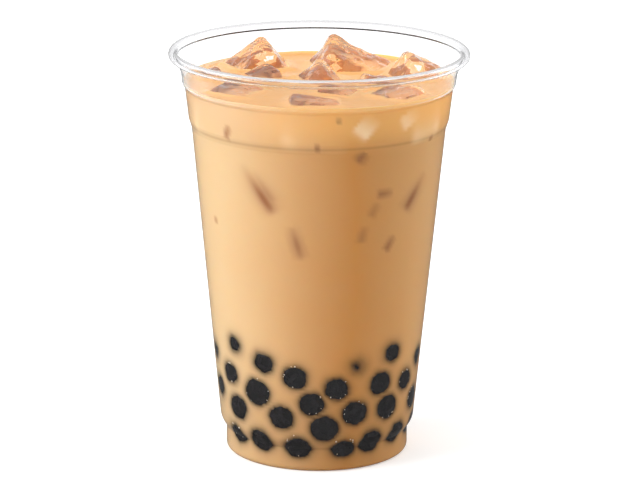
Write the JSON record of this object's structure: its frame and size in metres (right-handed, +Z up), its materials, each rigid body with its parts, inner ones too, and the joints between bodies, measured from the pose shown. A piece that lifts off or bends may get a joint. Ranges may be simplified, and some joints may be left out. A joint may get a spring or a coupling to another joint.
{
  "type": "bubble tea",
  "caption": "Clear takeaway cup of iced milk tea with a stacking shoulder, a base band and a curled rim, ice blocks standing out of the tea, and no lid.",
  "frame": {"origin": "on the cup's axis, at the level of the foot ring that it stands on", "axes": "+Z up along the cup's axis, -Y to the front, +X to the right as seen from the front"},
  "size_m": [0.098, 0.098, 0.1345],
  "materials": {
    "clear_plastic": "clear, smooth, vacuum formed",
    "tea": "opaque wet milk tea",
    "ice": "clear melting ice"
  },
  "bodies": {
    "root": {"cup": "clear_plastic", "milk_tea": "tea", "ice_back_right": "ice", "ice_back_left": "ice", "ice_middle": "ice", "ice_right": "ice", "ice_left": "ice", "ice_middle_right": "ice", "ice_far_left": "ice", "ice_front_left": "ice", "ice_front": "ice", "ice_front_middle": "ice", "ice_front_right": "ice"}
  },
  "joints": []
}
